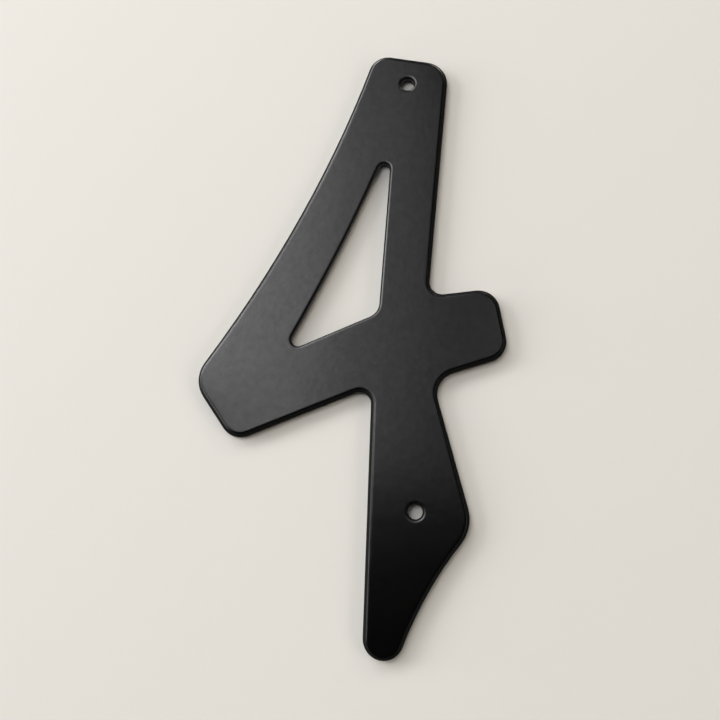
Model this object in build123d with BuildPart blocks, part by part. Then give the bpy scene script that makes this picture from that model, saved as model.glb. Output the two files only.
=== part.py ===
# House number sign, the numeral 4, cut from one flat metal plate.
# The plate stands upright as on a wall. X runs to the right, Z up and Y into the wall.
# The back face lies at Y = 0 and the origin is midway between the two screw holes.
from build123d import *
import os

os.makedirs("parts", exist_ok=True)

# Plate
plate_thickness = 2.7
outer_edge_round = 1.6
opening_edge_round = 0.8
hole_edge_round = 0.9
back_edge_break = 0.3

# Screw holes, one above the other on the Z axis
hole_diameter = 4.5
hole_spacing = 146.0

# Outline corners in X and Z, before they are rounded
stem_top_left = (-11.32, 85.5)
stem_top_right = (14.53, 80.03)
stem_to_arm = (5.52, -4.06)
arm_end_upper = (27.4, -1.92)
arm_end_lower = (30.88, -24.56)
arm_to_foot = (6.18, -31.83)
foot_right = (17.64, -78.09)
foot_to_bar = (-13.22, -33.93)
bar_end_lower = (-57.7, -51.14)
bar_end_upper = (-71.87, -30.56)

# Left side of the foot, down to where the round tip begins
tip_left = (-16.27, -109.6)
tip_radius = 6.15
tip_turn = 159.5

# Depth of the hollow in the long left edge
long_edge_hollow = 5.04

# Corner radii of the outline
stem_top_left_radius = 6.7
stem_top_right_radius = 8.4
stem_to_arm_radius = 4.2
arm_end_upper_radius = 7.0
arm_end_lower_radius = 6.9
arm_to_foot_radius = 7.2
foot_right_radius = 12.0
foot_to_bar_radius = 3.6
bar_end_lower_radius = 7.0
bar_end_upper_radius = 9.9

# Triangular opening, before its corners are rounded
opening_top = (-5.42, 53.9)
opening_right = (-10.74, -9.6)
opening_left = (-42.2, -22.65)
opening_edge_hollow = 1.42
opening_top_radius = 2.0
opening_right_radius = 5.2
opening_left_radius = 2.3


def corner_at(sketch, point):
    """The corner of a sketch that lies nearest to a point."""
    return sketch.vertices().sort_by_distance(Vector(*point))[0]


with BuildPart() as number_plate:
    with BuildSketch(Plane.XZ) as outline:
        with BuildLine():
            Line(stem_top_left, stem_top_right)
            Line(stem_top_right, stem_to_arm)
            Line(stem_to_arm, arm_end_upper)
            Line(arm_end_upper, arm_end_lower)
            Line(arm_end_lower, arm_to_foot)
            Line(arm_to_foot, foot_right)
            foot_left_edge = Line(foot_to_bar, tip_left)
            tip = JernArc(tip_left, foot_left_edge % 1, tip_radius, tip_turn)
            TangentArc(tip @ 1, foot_right, tangent=tip % 1)
            Line(foot_to_bar, bar_end_lower)
            Line(bar_end_lower, bar_end_upper)
            SagittaArc(bar_end_upper, stem_top_left, -long_edge_hollow)
        make_face()
        for corner, radius in (
            (stem_top_left, stem_top_left_radius),
            (stem_top_right, stem_top_right_radius),
            (stem_to_arm, stem_to_arm_radius),
            (arm_end_upper, arm_end_upper_radius),
            (arm_end_lower, arm_end_lower_radius),
            (arm_to_foot, arm_to_foot_radius),
            (foot_right, foot_right_radius),
            (foot_to_bar, foot_to_bar_radius),
            (bar_end_lower, bar_end_lower_radius),
            (bar_end_upper, bar_end_upper_radius),
        ):
            fillet(corner_at(outline, corner), radius=radius)
    extrude(amount=plate_thickness)

    with BuildSketch(Plane.XZ) as opening:
        with BuildLine():
            Line(opening_top, opening_right)
            Line(opening_right, opening_left)
            SagittaArc(opening_left, opening_top, -opening_edge_hollow)
        make_face()
        fillet(corner_at(opening, opening_top), radius=opening_top_radius)
        fillet(corner_at(opening, opening_right), radius=opening_right_radius)
        fillet(corner_at(opening, opening_left), radius=opening_left_radius)
    extrude(amount=plate_thickness, mode=Mode.SUBTRACT)

    with BuildSketch(Plane.XZ):
        with Locations((0, hole_spacing / 2), (0, -hole_spacing / 2)):
            Circle(hole_diameter / 2)
    extrude(amount=plate_thickness, mode=Mode.SUBTRACT)

    # Soft edges on the front: the outline, the opening and the mouths of the holes
    front = number_plate.faces().sort_by(Axis.Y)[0]
    back = number_plate.faces().sort_by(Axis.Y)[-1]
    hole_mouths = front.edges().filter_by(GeomType.CIRCLE).filter_by(lambda e: e.is_closed)
    opening_mouth = front.inner_wires().sort_by(lambda w: w.length)[-1].edges()
    outline_edges = front.outer_wire().edges()
    back_outline = back.outer_wire().edges()
    fillet(outline_edges, radius=outer_edge_round)
    fillet(opening_mouth, radius=opening_edge_round)
    fillet(hole_mouths, radius=hole_edge_round)
    chamfer(back_outline, length=back_edge_break)

number_plate.part.label = "number_plate"
export_step(number_plate.part, "parts/number_plate.step")
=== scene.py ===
"""House number sign, numeral 4: its powder coating, the wall it hangs on, light and camera."""
import logging
import math
from dataclasses import dataclass, field
from enum import Enum

import bpy
from mathutils import Matrix, Vector


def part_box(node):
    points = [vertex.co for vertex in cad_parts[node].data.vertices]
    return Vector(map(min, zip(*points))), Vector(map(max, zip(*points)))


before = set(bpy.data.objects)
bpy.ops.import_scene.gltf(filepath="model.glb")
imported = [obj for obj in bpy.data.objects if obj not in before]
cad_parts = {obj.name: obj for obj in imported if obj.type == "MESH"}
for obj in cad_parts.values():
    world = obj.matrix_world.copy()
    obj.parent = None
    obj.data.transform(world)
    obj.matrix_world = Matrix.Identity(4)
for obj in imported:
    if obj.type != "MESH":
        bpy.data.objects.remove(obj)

LOG = logging.getLogger("number_sign")
MILLIMETRE = 0.001

Colour = tuple[float, float, float, float]
Stops = tuple[tuple[float, float], ...]

WHITE: Colour = (1.0, 1.0, 1.0, 1.0)
INTO_WALL = (0.0, 1.0, 0.0)

# The lowest and highest that a direction's part along one axis can be
DOWN = -1.0
UP = 1.0

# Where most of a noise pattern's values lie
NOISE_LOW = 0.3
NOISE_HIGH = 0.7

# Where a new mark starts on a ramp, before it is moved to its place
NEW_MARK = 0.5

# How far the lamps hang from the middle of the sign, in metres
NEAR = 2.0
FAR = 4.0


class LampRole(Enum):
    """What a lamp does in the studio."""

    WINDOW = "window"
    KEY = "key"
    SIDE = "side"
    CROWN = "crown"
    FRONT = "front"
    FILL = "fill"
    LOW = "low"


class Tint(Enum):
    """A lamp's colour."""

    PLAIN = (1.0, 1.0, 1.0)
    COOL = (0.99, 1.0, 1.02)
    WARM = (1.0, 0.91, 0.78)


@dataclass(frozen=True)
class NodeSheet:
    """The node tree of a material or of the room, with short ways to add and join nodes."""

    owner: bpy.types.Material | bpy.types.World

    @classmethod
    def blank(cls, owner: bpy.types.Material | bpy.types.World) -> "NodeSheet":
        """Give a material or a room an empty node tree.

        Args:
            owner: what the nodes belong to.

        Returns:
            The sheet of its nodes.
        """
        owner.use_nodes = True
        owner.node_tree.nodes.clear()
        return cls(owner)

    def add(self, kind: str, **settings: object) -> bpy.types.Node:
        """Add a node.

        Args:
            kind: the node's type, such as ShaderNodeMix.
            settings: properties set on the node.

        Returns:
            The new node.
        """
        node = self.owner.node_tree.nodes.new(kind)
        for name, value in settings.items():
            setattr(node, name, value)
        return node

    def join(self, source: bpy.types.NodeSocket, target: bpy.types.NodeSocket) -> None:
        """Link an output socket to an input socket."""
        self.owner.node_tree.links.new(source, target)

    def noise(
        self, place: bpy.types.NodeSocket, grain: float, detail: float, fine: float = 0.5
    ) -> bpy.types.NodeSocket:
        """Add a noise pattern.

        Args:
            place: the coordinates it reads.
            grain: the size of one blot in metres.
            detail: how many finer layers it carries.
            fine: how strong each finer layer is beside the one before.

        Returns:
            The pattern's value socket, about 0 to 1.
        """
        node = self.add("ShaderNodeTexNoise")
        node.inputs["Scale"].default_value = 1.0 / grain
        node.inputs["Detail"].default_value = detail
        node.inputs["Roughness"].default_value = fine
        self.join(place, node.inputs["Vector"])
        return node.outputs["Fac"]

    def between(
        self,
        value: bpy.types.NodeSocket,
        low: float,
        high: float,
        start: float = NOISE_LOW,
        end: float = NOISE_HIGH,
    ) -> bpy.types.NodeSocket:
        """Spread a value over two new limits.

        Args:
            value: the value that is read.
            low: what it becomes at its low end.
            high: what it becomes at its high end.
            start: its low end.
            end: its high end.

        Returns:
            The new value socket.
        """
        node = self.add("ShaderNodeMapRange")
        node.inputs["From Min"].default_value = start
        node.inputs["From Max"].default_value = end
        node.inputs["To Min"].default_value = low
        node.inputs["To Max"].default_value = high
        self.join(value, node.inputs["Value"])
        return node.outputs["Result"]

    def stages(self, value: bpy.types.NodeSocket, stops: Stops) -> bpy.types.NodeSocket:
        """Turn a value from 0 to 1 into one that passes smoothly through several stages.

        Args:
            value: the value that is read.
            stops: each stage's place along it and the result there.

        Returns:
            The new value socket.
        """
        node = self.add("ShaderNodeValToRGB")
        node.color_ramp.interpolation = "EASE"
        marks = node.color_ramp.elements
        while len(marks) < len(stops):
            marks.new(NEW_MARK)
        for mark, (position, result) in zip(marks, stops):
            mark.position = position
            mark.color = (result, result, result, 1.0)
        self.join(value, node.inputs["Fac"])
        return node.outputs["Color"]

    def combine(
        self, how: str, first: bpy.types.NodeSocket, second: bpy.types.NodeSocket
    ) -> bpy.types.NodeSocket:
        """Combine two values.

        Args:
            how: the sum's name, such as MULTIPLY.
            first: the first value.
            second: the second value.

        Returns:
            The result's socket.
        """
        node = self.add("ShaderNodeMath", operation=how)
        self.join(first, node.inputs[0])
        self.join(second, node.inputs[1])
        return node.outputs["Value"]

    def blend(
        self, share: bpy.types.NodeSocket, first: Colour, second: Colour
    ) -> bpy.types.Node:
        """Mix two colours.

        Args:
            share: how much of the second colour shows.
            first: the first colour.
            second: the second colour.

        Returns:
            The mixing node.
        """
        node = self.add("ShaderNodeMix", data_type="RGBA")
        node.inputs["A"].default_value = first
        node.inputs["B"].default_value = second
        self.join(share, node.inputs["Factor"])
        return node


@dataclass(frozen=True)
class PowderCoat:
    """Satin black powder coating: faintly mottled on the face, with a glint at its rim.

    The stages run over how squarely the surface faces the front or the back, from 0 on the
    cut sides to 1 on the faces. The sheen is strongest just inside the rim of a face and
    almost gone where the edge turns. There the coat takes a lighter tone, a painted
    reflection of the pale wall, strongest on the cut sides.
    """

    name: str = "black_powder_coat"
    dark_tone: Colour = (0.0002, 0.0002, 0.0002, 1.0)
    light_tone: Colour = (0.0007, 0.0007, 0.0007, 1.0)
    # Painted reflection: a lighter tone on the cut sides, and a weaker share of it on the turned
    # rim, stands in for the pale wall mirrored there.
    painted_side_reflection_tone: Colour = (0.05, 0.05, 0.05, 1.0)
    painted_side_reflection_share: Stops = ((0.10, 1.0), (0.32, 0.16), (0.86, 0.16), (0.95, 0.0))
    sheen: Stops = (
        (0.10, 0.40),
        (0.32, 0.01),
        (0.88, 0.01),
        (0.96, 0.80),
        (0.992, 0.90),
        (0.999, 0.50),
    )
    roughness: Stops = ((0.10, 0.50), (0.88, 0.50), (0.96, 0.20))
    mottle_size: float = 2.0 * MILLIMETRE
    mottle_detail: float = 3.0
    mottle_fine: float = 0.8
    mottle_depth: float = 0.12
    grit_size: float = 0.35 * MILLIMETRE
    grit_detail: float = 2.0
    grit_depth: float = 0.08
    cloud_size: float = 9.0 * MILLIMETRE
    cloud_detail: float = 3.0
    peel_size: float = 4.0 * MILLIMETRE
    peel_detail: float = 4.0
    peel_strength: float = 1.0
    peel_height: float = 0.03 * MILLIMETRE
    flow_radius: float = 0.8 * MILLIMETRE
    flow_samples: int = 16

    def facing(self, sheet: NodeSheet, skin: bpy.types.NodeSocket) -> bpy.types.NodeSocket:
        """Measure how squarely the coating faces the front or the back.

        Args:
            sheet: the coating's node sheet.
            skin: the normal of the coating where it flows round the edges.

        Returns:
            The value's socket, 0 on the cut sides and 1 on the faces.
        """
        own = sheet.add(
            "ShaderNodeVectorTransform",
            vector_type="NORMAL",
            convert_from="WORLD",
            convert_to="OBJECT",
        )
        sheet.join(skin, own.inputs["Vector"])
        turn = sheet.add("ShaderNodeVectorMath", operation="DOT_PRODUCT")
        turn.inputs[1].default_value = INTO_WALL
        sheet.join(own.outputs["Vector"], turn.inputs[0])
        size = sheet.add("ShaderNodeMath", operation="ABSOLUTE")
        sheet.join(turn.outputs["Value"], size.inputs[0])
        return size.outputs["Value"]

    def relief(
        self, sheet: NodeSheet, place: bpy.types.NodeSocket, skin: bpy.types.NodeSocket
    ) -> bpy.types.NodeSocket:
        """Give the coating's skin a fine orange peel.

        Args:
            sheet: the coating's node sheet.
            place: the coordinates that the pattern reads.
            skin: the normal of the coating where it flows round the edges.

        Returns:
            The normal's socket.
        """
        peel = sheet.add("ShaderNodeBump")
        peel.inputs["Strength"].default_value = self.peel_strength
        peel.inputs["Distance"].default_value = self.peel_height
        sheet.join(sheet.noise(place, self.peel_size, self.peel_detail), peel.inputs["Height"])
        sheet.join(skin, peel.inputs["Normal"])
        return peel.outputs["Normal"]

    def build(self) -> bpy.types.Material:
        """Make the coating's material.

        Returns:
            The material.
        """
        sheet = NodeSheet.blank(bpy.data.materials.new(self.name))
        place = sheet.add("ShaderNodeTexCoord").outputs["Object"]
        flow = sheet.add("ShaderNodeBevel", samples=self.flow_samples)
        flow.inputs["Radius"].default_value = self.flow_radius
        skin = flow.outputs["Normal"]
        facing = self.facing(sheet, skin)
        shader = sheet.add("ShaderNodeBsdfPrincipled")
        surface = sheet.add("ShaderNodeOutputMaterial")
        sheet.join(shader.outputs["BSDF"], surface.inputs["Surface"])

        cloud = sheet.noise(place, self.cloud_size, self.cloud_detail)
        face = sheet.blend(cloud, self.dark_tone, self.light_tone)
        # Painted reflection: the cut sides and the turned rim take the lighter tone in place of
        # the wall's reflection.
        side = sheet.stages(facing, self.painted_side_reflection_share)
        tone = sheet.blend(side, self.dark_tone, self.painted_side_reflection_tone)
        sheet.join(face.outputs["Result"], tone.inputs["A"])
        sheet.join(tone.outputs["Result"], shader.inputs["Base Color"])

        mottle = sheet.noise(place, self.mottle_size, self.mottle_detail, self.mottle_fine)
        mottle = sheet.between(mottle, 1.0 - self.mottle_depth, 1.0 + self.mottle_depth)
        sheen = sheet.combine("MULTIPLY", sheet.stages(facing, self.sheen), mottle)
        sheet.join(sheen, shader.inputs["Specular IOR Level"])

        grit = sheet.noise(place, self.grit_size, self.grit_detail)
        grit = sheet.between(grit, 1.0 - self.grit_depth, 1.0 + self.grit_depth)
        rough = sheet.combine("MULTIPLY", sheet.stages(facing, self.roughness), grit)
        sheet.join(rough, shader.inputs["Roughness"])
        sheet.join(self.relief(sheet, place, skin), shader.inputs["Normal"])
        return sheet.owner


@dataclass(frozen=True)
class WallPaint:
    """Matt warm white paint, clear from behind so that the back of the sign can be seen.

    It is also clear to rays shorter than the touch, which lets light reach the sign's back
    face across the narrow gap.
    """

    name: str = "wall_paint"
    warm_tone: Colour = (0.717, 0.694, 0.651, 1.0)
    pale_tone: Colour = (0.725, 0.702, 0.659, 1.0)
    roughness: float = 1.0
    sheen: float = 0.0
    cloud_size: float = 120.0 * MILLIMETRE
    cloud_detail: float = 2.0
    touch: float = 0.4 * MILLIMETRE

    def build(self) -> bpy.types.Material:
        """Make the paint's material.

        Returns:
            The material.
        """
        sheet = NodeSheet.blank(bpy.data.materials.new(self.name))
        place = sheet.add("ShaderNodeTexCoord").outputs["Object"]
        shader = sheet.add("ShaderNodeBsdfPrincipled")
        shader.inputs["Roughness"].default_value = self.roughness
        shader.inputs["Specular IOR Level"].default_value = self.sheen
        cloud = sheet.noise(place, self.cloud_size, self.cloud_detail)
        tone = sheet.blend(cloud, self.warm_tone, self.pale_tone)
        sheet.join(tone.outputs["Result"], shader.inputs["Base Color"])

        clear = sheet.add("ShaderNodeBsdfTransparent")
        side = sheet.add("ShaderNodeNewGeometry").outputs["Backfacing"]
        near = sheet.add("ShaderNodeMath", operation="LESS_THAN")
        near.inputs[1].default_value = self.touch
        sheet.join(sheet.add("ShaderNodeLightPath").outputs["Ray Length"], near.inputs[0])
        hidden = sheet.combine("MAXIMUM", side, near.outputs["Value"])
        choice = sheet.add("ShaderNodeMixShader")
        sheet.join(hidden, choice.inputs["Fac"])
        sheet.join(shader.outputs["BSDF"], choice.inputs[1])
        sheet.join(clear.outputs["BSDF"], choice.inputs[2])
        surface = sheet.add("ShaderNodeOutputMaterial")
        sheet.join(choice.outputs["Shader"], surface.inputs["Surface"])
        return sheet.owner


@dataclass
class NumberPlate:
    """The sign itself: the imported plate, dressed in its coating."""

    node: str = "number_plate"
    finish: PowderCoat = field(default_factory=PowderCoat)

    def dress(self) -> bpy.types.Object:
        """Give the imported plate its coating.

        Returns:
            The plate's object.
        """
        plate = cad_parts[self.node]
        coat = self.finish.build()
        for place in plate.material_slots:
            place.material = coat
        LOG.info("%s wears %s", self.node, coat.name)
        return plate


@dataclass
class Wall:
    """The flat wall behind the sign, which is only the stage."""

    side: float = 3.0
    gap: float = 0.1 * MILLIMETRE
    paint: WallPaint = field(default_factory=WallPaint)

    def build(self) -> bpy.types.Object:
        """Make the wall just behind the sign's back face.

        Returns:
            The wall's object.
        """
        half = self.side / 2.0
        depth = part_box("number_plate")[1][1] + self.gap
        rim = [
            (-half, depth, -half),
            (half, depth, -half),
            (half, depth, half),
            (-half, depth, half),
        ]
        mesh = bpy.data.meshes.new("wall")
        mesh.from_pydata(rim, [], [(0, 1, 2, 3)])
        wall = bpy.data.objects.new("wall", mesh)
        bpy.context.collection.objects.link(wall)
        mesh.materials.append(self.paint.build())
        LOG.info("wall stands %.1f mm behind the sign", self.gap / MILLIMETRE)
        return wall


@dataclass(frozen=True)
class Softbox:
    """A soft area lamp that faces the middle of the sign from a point on a wide dome."""

    role: LampRole
    right: float
    up: float
    width: float
    height: float
    level: float
    distance: float = NEAR
    tint: Tint = Tint.PLAIN

    def power(self) -> float:
        """Work out the watts at which the lamp's face shows its level."""
        return math.pi * self.width * self.height * self.level

    def build(self) -> bpy.types.Object:
        """Hang the lamp and turn it to the sign.

        Returns:
            The lamp's object.
        """
        lamp = bpy.data.lights.new(self.role.value, "AREA")
        lamp.shape = "RECTANGLE"
        lamp.size = self.width
        lamp.size_y = self.height
        lamp.energy = self.power()
        lamp.color = self.tint.value
        around = math.radians(self.right)
        above = math.radians(self.up)
        away = Vector(
            (
                math.sin(around) * math.cos(above),
                -math.cos(around) * math.cos(above),
                math.sin(above),
            )
        )
        holder = bpy.data.objects.new(self.role.value, lamp)
        holder.location = away * self.distance
        holder.rotation_euler = (-away).to_track_quat("-Z", "Y").to_euler()
        bpy.context.collection.objects.link(holder)
        LOG.info(
            "%s lamp hangs %.0f degrees right and %.0f up", self.role.value, self.right, self.up
        )
        return holder


@dataclass(frozen=True)
class Room:
    """The room: dim in front of the wall, lighter behind it and pale wherever the eye meets it."""

    name: str = "room"
    pale: Colour = (0.74, 0.70, 0.64, 1.0)
    front_level: float = 0.003
    low_level: float = 0.15
    high_level: float = 0.60

    def build(self) -> bpy.types.World:
        """Make the room and hang it in the scene.

        Returns:
            The room's world.
        """
        sheet = NodeSheet.blank(bpy.data.worlds.new(self.name))
        way = sheet.add("ShaderNodeSeparateXYZ")
        sheet.join(sheet.add("ShaderNodeTexCoord").outputs["Generated"], way.inputs["Vector"])
        behind = sheet.add("ShaderNodeMath", operation="GREATER_THAN")
        behind.inputs[1].default_value = 0.0
        sheet.join(way.outputs["Y"], behind.inputs[0])
        rising = sheet.between(way.outputs["Z"], self.low_level, self.high_level, DOWN, UP)
        front = sheet.add("ShaderNodeMath", operation="MAXIMUM")
        front.inputs[1].default_value = self.front_level
        sheet.join(sheet.combine("MULTIPLY", rising, behind.outputs["Value"]), front.inputs[0])
        light = sheet.add("ShaderNodeBackground")
        light.inputs["Color"].default_value = WHITE
        sheet.join(front.outputs["Value"], light.inputs["Strength"])
        seen = sheet.add("ShaderNodeBackground")
        seen.inputs["Color"].default_value = self.pale
        choice = sheet.add("ShaderNodeMixShader")
        sheet.join(sheet.add("ShaderNodeLightPath").outputs["Is Camera Ray"], choice.inputs["Fac"])
        sheet.join(light.outputs["Background"], choice.inputs[1])
        sheet.join(seen.outputs["Background"], choice.inputs[2])
        surface = sheet.add("ShaderNodeOutputWorld")
        sheet.join(choice.outputs["Shader"], surface.inputs["Surface"])
        bpy.context.scene.world = sheet.owner
        return sheet.owner


@dataclass
class Studio:
    """Soft light, mostly from the left and above and weaker from the right."""

    lamps: tuple[Softbox, ...] = (
        Softbox(
            LampRole.WINDOW, right=-84.0, up=4.0,
            width=0.48, height=0.48, level=32.0, tint=Tint.COOL,
        ),
        Softbox(
            LampRole.WINDOW, right=-70.0, up=25.0,
            width=0.48, height=0.96, level=16.4, tint=Tint.COOL,
        ),
        Softbox(
            LampRole.WINDOW, right=-70.0, up=4.0,
            width=0.48, height=0.48, level=7.2, tint=Tint.COOL,
        ),
        Softbox(
            LampRole.LOW, right=-84.0, up=-38.0,
            width=0.48, height=0.48, level=17.7, tint=Tint.WARM,
        ),
        Softbox(
            LampRole.SIDE, right=-56.0, up=18.0,
            width=0.48, height=0.48, level=2.0, tint=Tint.COOL,
        ),
        Softbox(
            LampRole.SIDE, right=-38.0, up=21.0,
            width=0.58, height=0.46, level=5.2, tint=Tint.COOL,
        ),
        Softbox(
            LampRole.SIDE, right=-38.0, up=-2.0,
            width=0.50, height=0.80, level=1.9, tint=Tint.COOL,
        ),
        Softbox(
            LampRole.KEY, right=-49.0, up=46.0,
            width=1.64, height=0.96, level=6.3, distance=FAR, tint=Tint.COOL,
        ),
        Softbox(
            LampRole.CROWN, right=-35.0, up=60.0,
            width=1.28, height=0.96, level=9.4, distance=FAR, tint=Tint.COOL,
        ),
        Softbox(
            LampRole.CROWN, right=42.0, up=60.0,
            width=0.80, height=0.96, level=9.3, distance=FAR, tint=Tint.WARM,
        ),
        Softbox(
            LampRole.FILL, right=64.0, up=-10.0,
            width=0.48, height=1.44, level=5.0, tint=Tint.WARM,
        ),
        Softbox(
            LampRole.FILL, right=64.0, up=46.0,
            width=0.48, height=0.48, level=4.0, tint=Tint.WARM,
        ),
        Softbox(
            LampRole.LOW, right=78.0, up=-38.0,
            width=0.48, height=0.48, level=7.7, tint=Tint.WARM,
        ),
        Softbox(
            LampRole.FRONT, right=-22.5, up=22.5,
            width=0.33, height=0.99, level=4.65,
        ),
        Softbox(
            LampRole.FRONT, right=-13.5, up=18.0,
            width=0.33, height=1.30, level=2.80,
        ),
        Softbox(
            LampRole.FRONT, right=-4.5, up=22.8,
            width=0.33, height=1.56, level=1.08,
        ),
        Softbox(
            LampRole.FRONT, right=4.5, up=18.0,
            width=0.33, height=1.30, level=0.47,
        ),
        Softbox(
            LampRole.FRONT, right=13.5, up=13.5,
            width=0.33, height=0.33, level=0.95,
        ),
    )
    room: Room = field(default_factory=Room)

    def build(self) -> None:
        """Light the sign."""
        for lamp in self.lamps:
            lamp.build()
        self.room.build()


@dataclass(frozen=True)
class PhotoCamera:
    """The camera at the photograph's place: opposite the lower screw hole, aimed up and left."""

    across: float = -0.41 * MILLIMETRE
    height: float = -75.30 * MILLIMETRE
    distance: float = 227.4 * MILLIMETRE
    aim_across: float = -16.98 * MILLIMETRE
    aim_height: float = -24.74 * MILLIMETRE
    roll: float = 0.10
    focal_length: float = 36.0
    film_width: float = 36.0
    nearest: float = 10.0 * MILLIMETRE

    def build(self) -> bpy.types.Object:
        """Set up the camera.

        Returns:
            The camera's object.
        """
        data = bpy.data.cameras.new("photo_camera")
        data.lens = self.focal_length
        data.sensor_width = self.film_width
        data.clip_start = self.nearest
        place = Vector((self.across, -self.distance, self.height))
        aim = Vector((self.aim_across, 0.0, self.aim_height))
        turn = (aim - place).to_track_quat("-Z", "Y").to_matrix().to_4x4()
        camera = bpy.data.objects.new("photo_camera", data)
        camera.matrix_world = (
            Matrix.Translation(place) @ turn @ Matrix.Rotation(math.radians(-self.roll), 4, "Z")
        )
        bpy.context.collection.objects.link(camera)
        bpy.context.scene.camera = camera
        LOG.info("camera stands %.0f mm in front of the wall", self.distance / MILLIMETRE)
        return camera


def main() -> None:
    """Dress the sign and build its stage."""
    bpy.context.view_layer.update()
    bpy.context.scene.view_settings.view_transform = "Standard"
    NumberPlate().dress()
    Wall().build()
    Studio().build()
    PhotoCamera().build()


if __name__ == "__main__":
    logging.basicConfig(level=logging.INFO, format="%(name)s: %(message)s")
    main()
